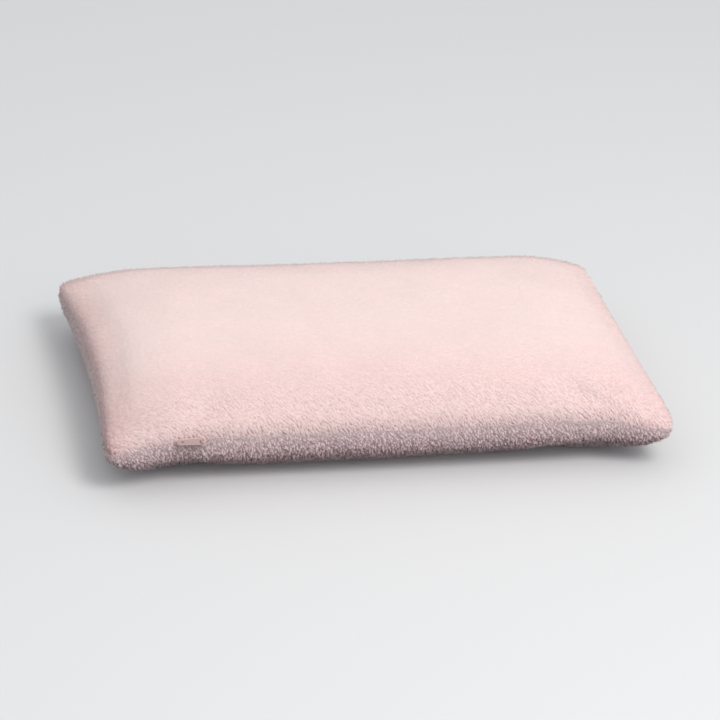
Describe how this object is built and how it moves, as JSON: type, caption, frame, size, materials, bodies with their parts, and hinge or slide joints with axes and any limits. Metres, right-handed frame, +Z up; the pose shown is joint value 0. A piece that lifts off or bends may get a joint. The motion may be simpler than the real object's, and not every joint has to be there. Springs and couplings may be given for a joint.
{
  "type": "lumbar nursing pillow",
  "caption": "Rectangular plush lumbar pillow used as a nursing support, with a zipped cover over a lined, fibre-filled insert.",
  "frame": {"origin": "under the middle of the pillow, on the plane the back panel's flat patch rests on", "axes": "+X along the length, away from the closed end of the zip; +Y from the zip edge to the far edge; +Z up through the thickness, out of the front panel"},
  "size_m": [0.5028, 0.2996, 0.09],
  "materials": {
    "plush_front": "short soft pile, nap lying towards the lower right",
    "plush_back": "short soft pile",
    "cover_thread": "spun polyester thread",
    "zip_tape": "woven tape, matt",
    "zip_coil": "nylon monofilament",
    "stop_metal": "bright",
    "painted_zinc": "satin enamel",
    "liner_cloth": "non-woven, matt",
    "white_thread": "spun polyester thread",
    "fibre": "loose siliconised fibre",
    "label_satin": "blank satin"
  },
  "bodies": {
    "pillow": {"cover_front_panel": "plush_front", "cover_back_panel": "plush_back", "cover_seam_thread": "cover_thread", "zip_tape_front": "zip_tape", "zip_tape_back": "zip_tape", "zip_coil_front": "zip_coil", "zip_coil_back": "zip_coil", "zip_stitching_front": "cover_thread", "zip_stitching_back": "cover_thread", "zip_top_stop_front": "stop_metal", "zip_top_stop_back": "stop_metal", "zip_bottom_stop": "stop_metal", "liner_front_panel": "liner_cloth", "liner_back_panel": "liner_cloth", "liner_seam_thread": "white_thread", "liner_closing_stitch": "white_thread", "fibre_fill": "fibre", "care_label": "label_satin"},
    "zip_slider": {"zip_slider_body": "painted_zinc"},
    "pull_tab": {"zip_pull_tab": "painted_zinc"}
  },
  "joints": [
    {"name": "zip_slide", "type": "slide", "parent": "pillow", "child": "zip_slider", "axis": [1, 0, 0], "range_m": [0, 0.335]},
    {"name": "pull_tab_swing", "type": "hinge", "parent": "zip_slider", "child": "pull_tab", "pos_m": [-0.168, -0.142, 0.048], "axis": [0, 0, 1], "range_deg": [0, 180]}
  ]
}
